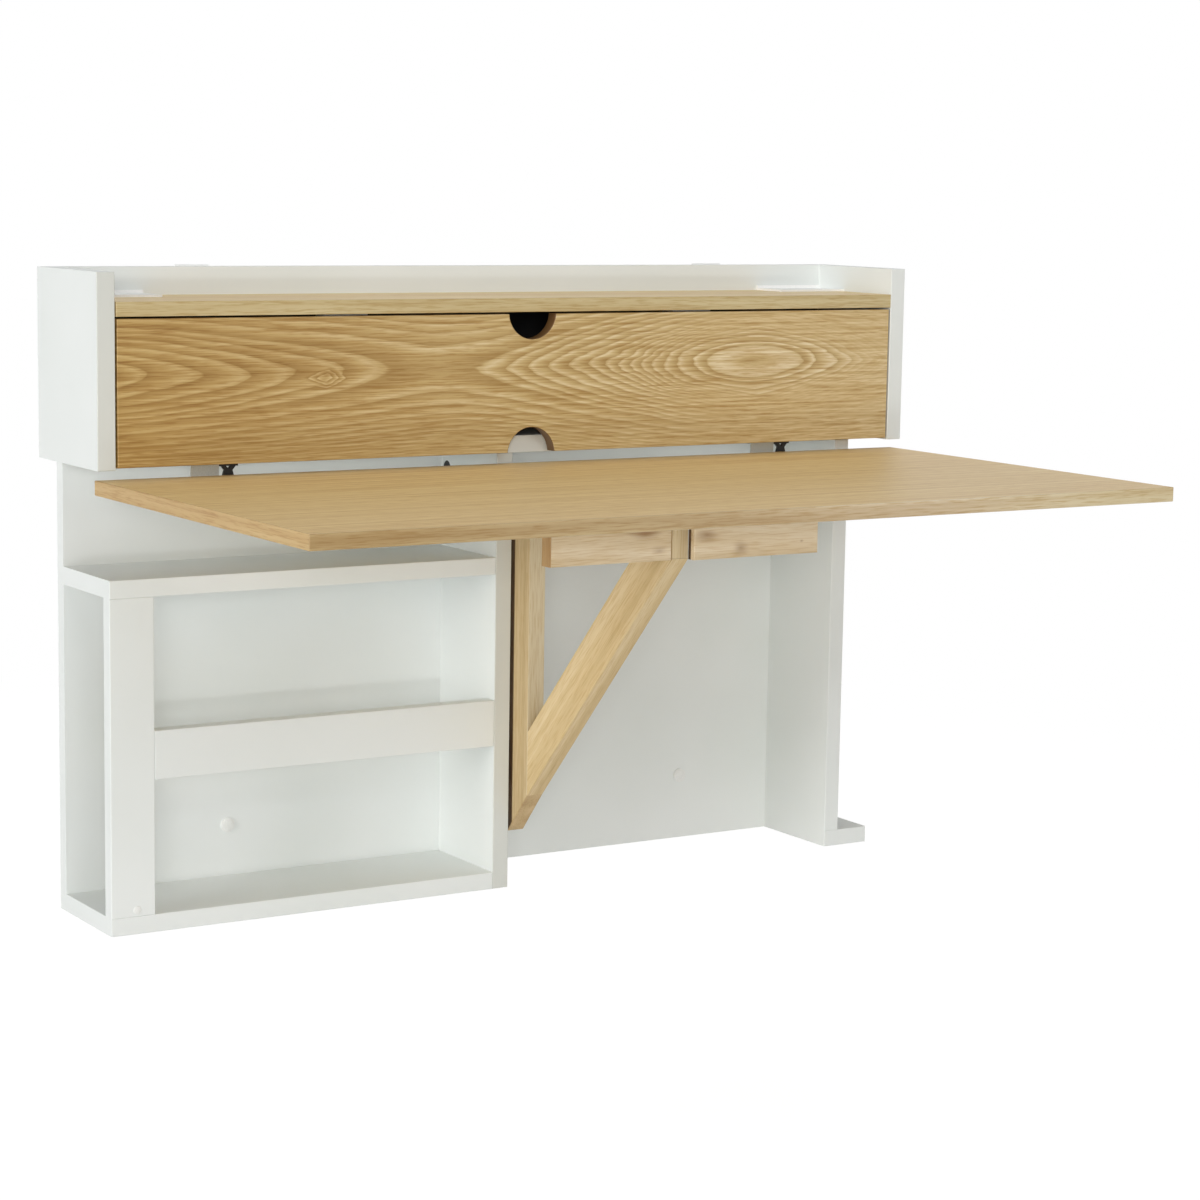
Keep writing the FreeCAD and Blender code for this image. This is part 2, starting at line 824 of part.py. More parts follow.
save(gate_pins(), "gate_hinge_pins")
save(catches(), "magnet_catches")
save(cams(), "cam_fittings")
save(dowels(places), "carcass_dowels")
fixed_screws = arm_screw_places() + gate_fixed_screw_places()
save(Part.makeCompound([screw(seat, axis) for seat, axis in fixed_screws]), "carcass_hinge_screws")
save(table_leaf(), "table_leaf")
left_row, right_row = batten_rows()
save(batten(left_row), "batten_left")
save(batten(right_row), "batten_right")
save(hinge_cups(), "leaf_hinge_cups")
save(Part.makeCompound([screw(seat, axis) for seat, axis in cup_screw_places()]), "leaf_hinge_screws")
save(dowels(batten_dowel_places()), "batten_dowels")
save(gate_stile(), "gate_stile")
save(gate_top_rail(), "gate_top_rail")
save(gate_brace(), "gate_brace")
save(Part.makeCompound([gate_moving_leaf(z) for z in gate_hinge_heights]), "gate_hinge_moving_leaves")
moving_screws = gate_moving_screw_places()
save(Part.makeCompound([screw(seat, axis) for seat, axis in moving_screws]), "gate_hinge_screws")
save(dowels(gate_dowel_places()), "gate_dowels")
save(flap_panel(), "flap_panel")
save(flap_bushes(), "flap_pivot_bushes")
save(strikes(), "catch_strike_plates")
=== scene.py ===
# %% [markdown]
# # A fold down wall desk
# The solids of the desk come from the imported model, in metres, with X to the right, the front facing -Y and Z up.
# This lesson gives them their surfaces, adds the small things that a modelling kernel draws too plainly, and sets
# up a camera and light like those of a product photograph.

# %% Load the solids
import math

import bpy
import numpy as np
from mathutils import Matrix, Vector


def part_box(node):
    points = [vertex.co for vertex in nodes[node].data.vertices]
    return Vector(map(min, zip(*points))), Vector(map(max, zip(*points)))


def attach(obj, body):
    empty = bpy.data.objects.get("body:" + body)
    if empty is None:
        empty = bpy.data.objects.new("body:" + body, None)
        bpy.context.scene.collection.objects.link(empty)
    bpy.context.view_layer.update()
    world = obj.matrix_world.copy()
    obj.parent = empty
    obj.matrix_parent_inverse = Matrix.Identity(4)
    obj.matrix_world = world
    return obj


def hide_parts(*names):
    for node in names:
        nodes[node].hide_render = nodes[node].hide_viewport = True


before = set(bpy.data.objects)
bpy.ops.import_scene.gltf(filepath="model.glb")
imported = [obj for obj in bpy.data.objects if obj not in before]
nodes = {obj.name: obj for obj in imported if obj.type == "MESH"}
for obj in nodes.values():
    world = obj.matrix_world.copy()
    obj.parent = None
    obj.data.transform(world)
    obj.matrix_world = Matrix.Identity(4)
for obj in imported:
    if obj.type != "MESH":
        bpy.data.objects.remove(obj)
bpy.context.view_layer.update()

# %% [markdown]
# ## The camera
# The picture was taken from the left, a little above the writing leaf, with a long lens, so that upright lines stay
# almost parallel. The angles and the place below come from corners of the desk that were measured in the picture.
# The rotation is written as three axes, because that keeps the small roll apart from the other two angles.

# %% Camera
CAMERA_TURN = math.radians(31.779)
CAMERA_PITCH = math.radians(8.145)
CAMERA_ROLL = math.radians(-0.939)
CAMERA_PLACE = Vector((-1.5141, -2.7278, 0.4294))
LENS_MM = 89.56
SENSOR_MM = 36.0


def camera_axes(turn, pitch, roll):
    """Right, up and backward axes: look along turn and pitch, then roll about the line of sight."""
    ahead = Vector((math.sin(turn) * math.cos(pitch), math.cos(turn) * math.cos(pitch), -math.sin(pitch)))
    level = Vector((math.cos(turn), -math.sin(turn), 0))
    down = ahead.cross(level)
    right = level * math.cos(roll) + down * math.sin(roll)
    low = down * math.cos(roll) - level * math.sin(roll)
    return right, -low, -ahead


lens = bpy.data.cameras.new("product_camera")
lens.lens = LENS_MM
lens.sensor_width = SENSOR_MM
camera = bpy.data.objects.new("product_camera", lens)
bpy.context.scene.collection.objects.link(camera)
axes = camera_axes(CAMERA_TURN, CAMERA_PITCH, CAMERA_ROLL)
camera.matrix_world = Matrix.Translation(CAMERA_PLACE) @ Matrix(axes).transposed().to_4x4()
bpy.context.scene.camera = camera
print("camera at", tuple(round(v, 3) for v in camera.location))

# %% [markdown]
# ## Helpers for finishes
# Colours are written as the hex values that a paint or veneer chart would give, and one function turns them to the
# linear values that the renderer works in. One more function adds a node: its settings are keywords, and its inputs
# are a dictionary that takes either plain values or other nodes' outputs. A colour ramp also takes stops, each a
# place and a hex value. The other three start a material, end it in one shader, and put it on the solids.

# %% Colour and node helpers
WHITE = "#FFFFFF"
TINT = {"data_type": "RGBA", "blend_type": "MULTIPLY"}


def linear(code, alpha=1.0):
    """sRGB hex to linear RGBA: values above 0.04045 follow the 2.4 power curve, smaller ones a straight line."""
    channels = np.array([int(code[i:i + 2], 16) for i in (1, 3, 5)]) / 255
    bent = np.where(channels > 0.04045, ((channels + 0.055) / 1.055) ** 2.4, channels / 12.92)
    return (*bent.tolist(), alpha)


def add(tree, kind, inputs=None, stops=(), **settings):
    """Adds one node, sets its settings, fills each input with a value or a link, and places any (place, hex) stops."""
    node = tree.nodes.new(kind)
    for name, value in settings.items():
        setattr(node, name, value)
    for socket, value in (inputs or {}).items():
        if isinstance(value, bpy.types.NodeSocket):
            tree.links.new(value, node.inputs[socket])
        else:
            node.inputs[socket].default_value = value
    if stops:
        band = node.color_ramp.elements
        while len(band) < len(stops):
            band.new(1.0)
        for element, (place, code) in zip(band, stops):
            element.position = place
            element.color = linear(code)
    return node


def new_material(name):
    """An empty node material; returns it with its tree."""
    material = bpy.data.materials.new(name)
    material.use_nodes = True
    material.node_tree.nodes.clear()
    return material, material.node_tree


def surface(tree, inputs, bump_height=None, bump_mm=0.0):
    """Ends a tree in one Principled shader, with an optional bump of a given depth in millimetres."""
    if bump_height is not None:
        bump = add(tree, "ShaderNodeBump", {"Height": bump_height, "Distance": bump_mm / 1000})
        inputs = dict(inputs, Normal=bump.outputs["Normal"])
    shader = add(tree, "ShaderNodeBsdfPrincipled", inputs)
    add(tree, "ShaderNodeOutputMaterial", {"Surface": shader.outputs["BSDF"]})


def dress(material, *names):
    """Puts a material on CAD nodes, in place of the plain one that they came with."""
    for name in names:
        slots = nodes[name].data.materials
        slots.clear()
        slots.append(material)


print("helpers ready, test colour", [round(v, 3) for v in linear("#BC965F")])

# %% [markdown]
# ## White boards
# The carcass is chipboard with a white melamine face. It is matt with a faint orange-peel from the press plate, and
# it reads as one even tone, so the colour hardly changes and the bump does the work. The peel is about 2 mm across.
# Two uprights have a greyer front edge, which is painted shade that darkens these edges. A point counts as part of
# that edge when it lies within a hair of the front plane, which needs no separate piece. The back wall of the closed
# compartment is painted near-black in the same way, between its floor and its roof, as painted shade for the dark
# inside of the shut compartment: a normal shorter than 1 widens the hair, and there it is short enough to reach
# from the middle of the compartment to both.

# %% White melamine
PEEL_MM = 2.0
PEEL_DEEP_MM = 0.02
PATCH_MM = 160.0
FACE_MM = 0.9
BOARD_ROUGHNESS = 0.5
COAT_IOR = 1.5
BOARD_STOPS = [(0.3, "#E3E7E4"), (0.7, "#E9ECEA")]
# Painted shade: the greyer tone of the front edges of two uprights.
EDGE_SHADE_STOPS = [(0.3, "#D0D2CC"), (0.7, "#D6D8D2")]
# Painted shade: near-black for the back wall inside the closed compartment, which is dark because it is shut.
COMPARTMENT_SHADE_STOPS = [(0.3, "#1E1E20"), (0.7, "#29292B")]


def near_planes(tree, place, planes):
    """1 where |(place - point) . normal| is under FACE_MM for one of the (point, normal) planes, else 0."""
    found = 0.0
    for point, normal in planes:
        away = add(tree, "ShaderNodeVectorMath", {0: place, 1: point}, operation="SUBTRACT").outputs[0]
        height = add(tree, "ShaderNodeVectorMath", {0: away, 1: normal}, operation="DOT_PRODUCT").outputs["Value"]
        size = add(tree, "ShaderNodeMath", {0: height}, operation="ABSOLUTE").outputs[0]
        near = add(tree, "ShaderNodeMath", {0: size, 1: FACE_MM / 1000}, operation="LESS_THAN").outputs[0]
        found = add(tree, "ShaderNodeMath", {0: near, 1: found}, operation="MAXIMUM").outputs[0]
    return found


def white_board(name, shade_planes=(), shade_stops=EDGE_SHADE_STOPS, between=()):
    """White melamine with a fine peel; the planes given, where they lie between others, get a painted-shade tone of
    their own.
    """
    material, tree = new_material(name)
    place = add(tree, "ShaderNodeTexCoord").outputs["Object"]
    patch = add(tree, "ShaderNodeTexNoise", {"Vector": place, "Scale": 1000 / PATCH_MM, "Detail": 2.0}).outputs["Fac"]
    peel = add(tree, "ShaderNodeTexNoise", {"Vector": place, "Scale": 1000 / PEEL_MM, "Detail": 1.0}).outputs["Fac"]
    tone = add(tree, "ShaderNodeValToRGB", {"Fac": patch}, BOARD_STOPS).outputs["Color"]
    if shade_planes:
        mask = near_planes(tree, place, shade_planes)
        if between:
            inside = near_planes(tree, place, between)
            mask = add(tree, "ShaderNodeMath", {0: mask, 1: inside}, operation="MULTIPLY").outputs[0]
        # The tone on the planes found above is painted shade.
        shade_tone = add(tree, "ShaderNodeValToRGB", {"Fac": patch}, shade_stops).outputs["Color"]
        tone = add(tree, "ShaderNodeMix", {"Factor": mask, 6: tone, 7: shade_tone}, data_type="RGBA").outputs[2]
    surface(tree, {"Base Color": tone, "Roughness": BOARD_ROUGHNESS, "IOR": COAT_IOR}, peel, PEEL_DEEP_MM)
    return material


ACROSS_X, ACROSS_Y = (1, 0, 0), (0, 1, 0)
PLAIN = ["upper_right_side", "upper_bottom_board", "shelf_top_board", "shelf_bottom_board",
         "shelf_front_post", "shelf_mid_rail", "right_side_panel", "right_foot_plate"]
# These two uprights get the greyer front edge that is painted shade.
SHADED_EDGE_PARTS = ["upper_left_side", "divider_panel"]
dress(white_board("white_melamine_board"), *PLAIN)
for name in SHADED_EDGE_PARTS:
    dress(white_board("white_melamine_" + name, [(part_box(name)[0], ACROSS_Y)]), name)
# The back wall is painted near-black between the compartment's floor and roof, as painted shade.
cell_floor, cell_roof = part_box("upper_bottom_board")[1][2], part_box("top_shelf")[0][2]
half_cell = (cell_roof - cell_floor) / 2
cell_span = [((0, 0, cell_floor + half_cell), (0, 0, FACE_MM / 1000 / half_cell))]
back_face = [(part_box("back_panel")[0], ACROSS_Y)]
dress(white_board("white_melamine_compartment_shade", back_face, COMPARTMENT_SHADE_STOPS, cell_span), "back_panel")
print("white boards:", len(PLAIN) + len(SHADED_EDGE_PARTS) + 1)

# %% [markdown]
# ## Straight-grained ash
# The leaf and the tray floor are faced with plain-striped ash. Stretching a noise along X gives the stripes: one
# noise for the growth bands, a few millimetres wide and some 40 centimetres long, and a finer one for the open
# pores. A solid noise would show end grain at the short ends, but the real board is lipped there with strips whose
# grain runs along the edge. So faces are told apart by how near a point lies to a plane, and the pattern is turned
# and tinted on them.

# %% Straight ash
BAND_MM = (420.0, 7.0)
BAND_DETAIL = 4.0
PORE_MM = (22.0, 1.1)
PORE_DETAIL = 2.0
PORE_FROM, PORE_TO = 0.34, 0.52
PORE_DEEP_MM = 0.05
VENEER_ROUGHNESS = 0.45
VENEER_PORE = "#EADFCC"
MARK_SHARE = 0.75
MARK_RAGGED = 1.6
MARK_FROM, MARK_TO = 0.7, 1.7
MARK_TONE = "#8C6338"
QUARTER = math.radians(90)


def stripes(tree, place, long_mm, wide_mm, detail):
    """A solid noise whose cells are long along X and narrow across it."""
    scale = (1000 / long_mm, 1000 / wide_mm, 1000 / wide_mm)
    stretched = add(tree, "ShaderNodeMapping", {"Vector": place, "Scale": scale}).outputs["Vector"]
    return add(tree, "ShaderNodeTexNoise", {"Vector": stretched, "Scale": 1.0, "Detail": detail}).outputs["Fac"]


def straight_wood(name, stops, pore_dark, turn=(0, 0, 0), roughness=VENEER_ROUGHNESS, faces=(), band=BAND_MM,
                  marks=()):
    """Wood striped along X after the turn; pores darken the bands. Each face is (planes, its own turn and stops, and
    perhaps a wash of (ends, stops) that tints it from one X to another).
    A mark is a brown cloud: 1 at its centre, 0 where ((place - centre) / size) is longer than 1, both in mm."""
    material, tree = new_material(name)
    solid = add(tree, "ShaderNodeTexCoord").outputs["Object"]
    place = add(tree, "ShaderNodeMapping", {"Vector": solid, "Rotation": turn}).outputs["Vector"]
    masks = []
    for planes, face_turn, face_stops, *washes in faces:
        mask = near_planes(tree, solid, planes)
        turned = add(tree, "ShaderNodeMapping", {"Vector": solid, "Rotation": face_turn}).outputs["Vector"]
        place = add(tree, "ShaderNodeMix", {"Factor": mask, 4: place, 5: turned}, data_type="VECTOR").outputs[1]
        masks.append((mask, face_stops, washes))
    bands = stripes(tree, place, *band, BAND_DETAIL)
    pores = stripes(tree, place, *PORE_MM, PORE_DETAIL)
    colour = add(tree, "ShaderNodeValToRGB", {"Fac": bands}, stops).outputs["Color"]
    for mask, face_stops, washes in masks:
        face = add(tree, "ShaderNodeValToRGB", {"Fac": bands}, face_stops).outputs["Color"]
        for (start, end), wash_stops in washes:
            x = add(tree, "ShaderNodeSeparateXYZ", {0: solid}).outputs["X"]
            along = add(tree, "ShaderNodeMapRange", {"Value": x, "From Min": start, "From Max": end}).outputs[0]
            tint = add(tree, "ShaderNodeValToRGB", {"Fac": along}, wash_stops).outputs["Color"]
            face = add(tree, "ShaderNodeMix", {"Factor": 1.0, 6: face, 7: tint}, **TINT).outputs[2]
        colour = add(tree, "ShaderNodeMix", {"Factor": mask, 6: colour, 7: face}, data_type="RGBA").outputs[2]
    for centre, size in marks:
        middle = [value / 1000 for value in centre]
        per_size = [1000 / value for value in size]
        away = add(tree, "ShaderNodeVectorMath", {0: solid, 1: middle}, operation="SUBTRACT").outputs[0]
        shape = add(tree, "ShaderNodeVectorMath", {0: away, 1: per_size}, operation="MULTIPLY").outputs[0]
        reach = add(tree, "ShaderNodeVectorMath", {0: shape}, operation="LENGTH").outputs["Value"]
        ragged = add(tree, "ShaderNodeMath", {0: bands, 1: MARK_RAGGED, 2: reach}, operation="MULTIPLY_ADD").outputs[0]
        cloud = add(tree, "ShaderNodeMapRange", {"Value": ragged, "From Min": MARK_FROM, "From Max": MARK_TO,
                                                 "To Min": MARK_SHARE, "To Max": 0.0},
                    interpolation_type="SMOOTHSTEP").outputs[0]
        colour = add(tree, "ShaderNodeMix", {"Factor": cloud, 6: colour, 7: linear(MARK_TONE)},
                     data_type="RGBA").outputs[2]
    pore_stops = [(PORE_FROM, pore_dark), (PORE_TO, WHITE)]
    shade = add(tree, "ShaderNodeValToRGB", {"Fac": pores}, pore_stops).outputs["Color"]
    tinted = add(tree, "ShaderNodeMix", {"Factor": 1.0, 6: colour, 7: shade}, **TINT).outputs[2]
    surface(tree, {"Base Color": tinted, "Roughness": roughness, "IOR": COAT_IOR}, pores, PORE_DEEP_MM)
    return material


LEAF_STOPS = [(0.3, "#D4B274"), (0.5, "#E0C287"), (0.7, "#EAD099")]
SHELF_STOPS = [(0.3, "#D2B47A"), (0.5, "#DEC48F"), (0.7, "#E9D3A2")]
SHELF_EDGE_STOPS = [(0.3, "#BAA372"), (0.5, "#C4B285"), (0.7, "#CEC097")]
END_STOPS = [(0.3, "#B4915A"), (0.5, "#BF9F69"), (0.7, "#C8AC78")]
EDGE_STOPS = [(0.3, "#C1A985"), (0.5, "#D5C2A3"), (0.7, "#E3D7C0")]
EDGE_WASH = [(0.08, "#CBB993"), (0.32, "#E2DAC4"), (0.68, WHITE), (0.91, "#F7F6E6")]

leaf_low, leaf_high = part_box("table_leaf")
leaf_faces = [([(leaf_low, ACROSS_X), (leaf_high, ACROSS_X)], (0, 0, QUARTER), END_STOPS),
              ([(leaf_low, ACROSS_Y)], (0, 0, 0), EDGE_STOPS, ((leaf_low[0], leaf_high[0]), EDGE_WASH))]
leaf_ash = straight_wood("ash_veneer_leaf", LEAF_STOPS, VENEER_PORE, faces=leaf_faces)
shelf_faces = [([(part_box("top_shelf")[0], ACROSS_Y)], (0, 0, 0), SHELF_EDGE_STOPS)]
shelf_ash = straight_wood("ash_veneer_shelf", SHELF_STOPS, VENEER_PORE, faces=shelf_faces)
dress(leaf_ash, "table_leaf")
dress(shelf_ash, "top_shelf")
print("straight ash on the leaf and the tray floor")

# %% [markdown]
# ## Figured ash on the flap
# The flap's veneer was cut flat across the rings, so it shows two nests of arches that meet in a waist, a closed
# oval to the right and a small knot to the left. Each nest is a distance: far along X counts little, far across
# counts much. A smooth minimum joins the two nests. A curve then turns the distance to a count of years, because
# the tree grew slowly near the oval and fast near the waist, and each year is one band of colour.

# %% Distances of the figure
OVAL = (270.0, 236.0)
NEST = (-520.0, 236.0)
KNOT = (-232.0, 229.0)
OVAL_CROSS = 3.9
ARROW_CROSS = 2.4
ARROW_POINT = 1.18
OVAL_FROM, OVAL_TO = 70.0, 170.0
NEST_CROSS = 4.6
NEST_POINT = 1.6
CURL = 0.03
NEST_RATE = 0.5
NEST_HANDICAP = 147.5
WAIST_MM = 170.0
KNOT_PULL_MM = 62.0
KNOT_REACH_MM = 24.0
KNOT_CROSS = 1.9
KNOT_POINT = 1.3
SLOW_CELL_MM, SLOW_SWING_MM = (150, 150, 50), (42, 0, 7)
TEETH_CELL_MM, TEETH_SWING_MM = (60, 60, 6), (13, 0, 0)

flap_ash, tree = new_material("ash_veneer_flap")
place = add(tree, "ShaderNodeTexCoord").outputs["Object"]


def wander(tree, place, cell_mm, swing_mm):
    """A noise offset in millimetres: cells of cell_mm along X, Y, Z, swinging by swing_mm along each."""
    scale = tuple(1000 / size for size in cell_mm)
    cells = add(tree, "ShaderNodeMapping", {"Vector": place, "Scale": scale}).outputs["Vector"]
    noise = add(tree, "ShaderNodeTexNoise", {"Vector": cells, "Scale": 1.0, "Detail": 2.0}).outputs["Color"]
    centred = add(tree, "ShaderNodeVectorMath", {0: noise, 1: (0.5, 0.5, 0.5)}, operation="SUBTRACT").outputs[0]
    return add(tree, "ShaderNodeVectorMath", {0: centred, 1: swing_mm}, operation="MULTIPLY").outputs[0]


def nest(tree, point, centre, cross, pointed, curl):
    """Distance (|dx|^p + |cross dz|^p)^(1/p) + curl dz^2 from a centre, in millimetres along the grain."""
    here = add(tree, "ShaderNodeVectorMath", {0: point, 1: (centre[0], 0, centre[1])}, operation="SUBTRACT")
    scaled = add(tree, "ShaderNodeVectorMath", {0: here.outputs[0], 1: (1, 0, cross)}, operation="MULTIPLY")
    size = add(tree, "ShaderNodeVectorMath", {0: scaled.outputs[0]}, operation="ABSOLUTE")
    parts = add(tree, "ShaderNodeSeparateXYZ", {0: size.outputs[0]})
    along = add(tree, "ShaderNodeMath", {0: parts.outputs["X"], 1: pointed}, operation="POWER").outputs[0]
    across = add(tree, "ShaderNodeMath", {0: parts.outputs["Z"], 1: pointed}, operation="POWER").outputs[0]
    both = add(tree, "ShaderNodeMath", {0: along, 1: across}, operation="ADD").outputs[0]
    reach = add(tree, "ShaderNodeMath", {0: both, 1: 1 / pointed}, operation="POWER").outputs[0]
    square = add(tree, "ShaderNodeMath", {0: parts.outputs["Z"], 1: 2.0}, operation="POWER").outputs[0]
    bend = curl / cross ** 2
    return add(tree, "ShaderNodeMath", {0: square, 1: bend, 2: reach}, operation="MULTIPLY_ADD").outputs[0]


millimetres = add(tree, "ShaderNodeVectorMath", {0: place, 1: (1000, 1000, 1000)}, operation="MULTIPLY").outputs[0]
slow = wander(tree, place, SLOW_CELL_MM, SLOW_SWING_MM)
teeth = wander(tree, place, TEETH_CELL_MM, TEETH_SWING_MM)
moved = add(tree, "ShaderNodeVectorMath", {0: millimetres, 1: slow}, operation="ADD").outputs[0]
moved = add(tree, "ShaderNodeVectorMath", {0: moved, 1: teeth}, operation="ADD").outputs[0]
oval = nest(tree, moved, OVAL, OVAL_CROSS, 2.0, 0.0)
arrows = nest(tree, moved, OVAL, ARROW_CROSS, ARROW_POINT, CURL)
outside = add(tree, "ShaderNodeMapRange", {"Value": oval, "From Min": OVAL_FROM, "From Max": OVAL_TO},
              interpolation_type="SMOOTHSTEP").outputs[0]
right_nest = add(tree, "ShaderNodeMix", {"Factor": outside, 2: oval, 3: arrows}).outputs[0]
left_nest = nest(tree, moved, NEST, NEST_CROSS, NEST_POINT, 2 * CURL)
left_nest = add(tree, "ShaderNodeMath", {0: left_nest, 1: NEST_RATE, 2: NEST_HANDICAP},
                operation="MULTIPLY_ADD").outputs[0]
growth = add(tree, "ShaderNodeMath", {0: right_nest, 1: left_nest, 2: WAIST_MM}, operation="SMOOTH_MIN").outputs[0]
knot_far = nest(tree, moved, KNOT, KNOT_CROSS, KNOT_POINT, 0.0)
knot_near = add(tree, "ShaderNodeMapRange", {"Value": knot_far, "From Min": 0.0, "From Max": KNOT_REACH_MM,
                                             "To Min": KNOT_PULL_MM, "To Max": 0.0}, interpolation_type="SMOOTHSTEP")
growth = add(tree, "ShaderNodeMath", {0: growth, 1: knot_near.outputs[0]}, operation="SUBTRACT").outputs[0]
print("distances of the figure:", len(tree.nodes), "nodes")

# %% [markdown]
# The years are read from a curve of distance against count. The bands fade towards the long edges, where the cut
# runs nearly along the rings, and round the oval's right, and the veneer is a little paler to the right. The walls
# of the two notches are found by their distance from the notch's axis, and are darker brown: partly the cut core's
# own tone, partly painted shade.

# %% Bands of the figure
FAR_MM = 900.0
MANY_YEARS = 42.0
STREAK_MM = (170.0, 2.6)
STREAK_DETAIL = 3.0
STREAK_STOPS = [(0.36, "#E4D8C0"), (0.6, WHITE)]
EDGE_FROM, EDGE_TO, EDGE_FADE = 20.0, 75.0, 0.6
RIGHT_FROM, RIGHT_TO = 90.0, 250.0
BEYOND_FROM, BEYOND_TO, BEYOND_FADE = 88.0, 150.0, 0.85
PLAIN_TONE = "#D9C395"
SIDE_MM = 444.0
SIDE_STOPS = [(0.0, "#D6C398"), (0.5, "#EFEADA"), (1.0, WHITE)]
FLAP_PORE_STOPS = [(PORE_FROM, "#E6DAC4"), (PORE_TO, WHITE)]
NOTCH_OFF = 0.002
NOTCH_WALL = 0.0274
# Partly the cut core's own brown, partly painted shade inside the notches.
NOTCH_SHADE_TONE = "#6E5130"
YEARS = [(0, 0.25), (40, 0.72), (64, 1.0), (80, 2.0), (104, 3.0), (204, 10.0), (226, 11.0), (300, 14.0), (322, 14.95),
         (335, 15.12), (600, 24.0), (900, 40.0)]
FLAP_BANDS = [(0.0, "#C3AA79"), (0.22, "#CFB889"), (0.5, "#DECBA0"), (0.78, "#EFE2C4"), (0.94, "#E1D0A8"),
              (1.0, "#C3AA79")]

curve = add(tree, "ShaderNodeFloatCurve")
points = curve.mapping.curves[0].points
while len(points) < len(YEARS):
    points.new(1.0, 1.0)
for point, (distance, year) in zip(points, YEARS):
    point.location = (distance / FAR_MM, year / MANY_YEARS)
    point.handle_type = "AUTO_CLAMPED"
curve.mapping.update()
part = add(tree, "ShaderNodeMath", {0: growth, 1: FAR_MM}, operation="DIVIDE").outputs[0]
tree.links.new(part, curve.inputs["Value"])
years = add(tree, "ShaderNodeMath", {0: curve.outputs[0], 1: MANY_YEARS}, operation="MULTIPLY").outputs[0]
phase = add(tree, "ShaderNodeMath", {0: years}, operation="FRACT").outputs[0]
bands = add(tree, "ShaderNodeValToRGB", {"Fac": phase}, FLAP_BANDS).outputs["Color"]
parts = add(tree, "ShaderNodeSeparateXYZ", {0: millimetres}).outputs
lift = add(tree, "ShaderNodeMath", {0: parts["Z"], 1: OVAL[1]}, operation="SUBTRACT").outputs[0]
lift = add(tree, "ShaderNodeMath", {0: lift}, operation="ABSOLUTE").outputs[0]
fade = add(tree, "ShaderNodeMapRange", {"Value": lift, "From Min": EDGE_FROM, "From Max": EDGE_TO, "To Min": 0.0,
                                        "To Max": EDGE_FADE}).outputs[0]
rightward = add(tree, "ShaderNodeMapRange", {"Value": parts["X"], "From Min": RIGHT_FROM, "From Max": RIGHT_TO},
                interpolation_type="SMOOTHSTEP").outputs[0]
beyond = add(tree, "ShaderNodeMapRange", {"Value": growth, "From Min": BEYOND_FROM, "From Max": BEYOND_TO,
                                          "To Max": BEYOND_FADE}, interpolation_type="SMOOTHSTEP").outputs[0]
plain = add(tree, "ShaderNodeMath", {0: rightward, 1: beyond}, operation="MULTIPLY").outputs[0]
fade = add(tree, "ShaderNodeMath", {0: fade, 1: plain}, operation="MAXIMUM").outputs[0]
bands = add(tree, "ShaderNodeMix", {"Factor": fade, 6: bands, 7: linear(PLAIN_TONE)}, data_type="RGBA").outputs[2]
streaks = stripes(tree, place, *STREAK_MM, STREAK_DETAIL)
side = add(tree, "ShaderNodeMapRange", {"Value": parts["X"], "From Min": -SIDE_MM, "From Max": SIDE_MM}).outputs[0]
pores = stripes(tree, place, *PORE_MM, PORE_DETAIL)
tinted = bands
for factor, stops in ((streaks, STREAK_STOPS), (side, SIDE_STOPS), (pores, FLAP_PORE_STOPS)):
    shade = add(tree, "ShaderNodeValToRGB", {"Fac": factor}, stops).outputs["Color"]
    tinted = add(tree, "ShaderNodeMix", {"Factor": 1.0, 6: tinted, 7: shade}, **TINT).outputs[2]
flap_low, flap_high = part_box("flap_panel")
# Notch walls: the cut core's brown plus painted shade.
for rim in (flap_low[2] - NOTCH_OFF, flap_high[2] + NOTCH_OFF):
    arm = add(tree, "ShaderNodeVectorMath", {0: place, 1: (0, 0, rim)}, operation="SUBTRACT").outputs[0]
    flat = add(tree, "ShaderNodeVectorMath", {0: arm, 1: (1, 0, 1)}, operation="MULTIPLY").outputs[0]
    reach = add(tree, "ShaderNodeVectorMath", {0: flat}, operation="LENGTH").outputs["Value"]
    wall = add(tree, "ShaderNodeMath", {0: reach, 1: NOTCH_WALL}, operation="LESS_THAN").outputs[0]
    tinted = add(tree, "ShaderNodeMix", {"Factor": wall, 6: tinted, 7: linear(NOTCH_SHADE_TONE)}, data_type="RGBA").outputs[2]
surface(tree, {"Base Color": tinted, "Roughness": VENEER_ROUGHNESS, "IOR": COAT_IOR}, pores, PORE_DEEP_MM)
dress(flap_ash, "flap_panel")
print("figured ash on the flap:", len(tree.nodes), "nodes")

# %% [markdown]
# ## Pale wood of the gate and battens
# The bracket is planed solid rubberwood. Each bar's grain runs along its length, so the same recipe is turned: about
# Y for the upright, about Z for the rail, and to the brace's slope for the slanted bar. Sawn ends drink more finish
# than planed sides, so the batten ends, the rail's end and the upright's bevelled foot are darker. The right batten's
# left end is dark brown behind its front few millimetres, which is painted shade for the gap beside the rail's end.
# The strip of the upright that sits back beside the divider is dark brown too, painted shade for the narrow gap
# there, and the upright's front face is paler than its sides, which is painted light. The battens carry a few brown
# clouds from the heart of the tree.

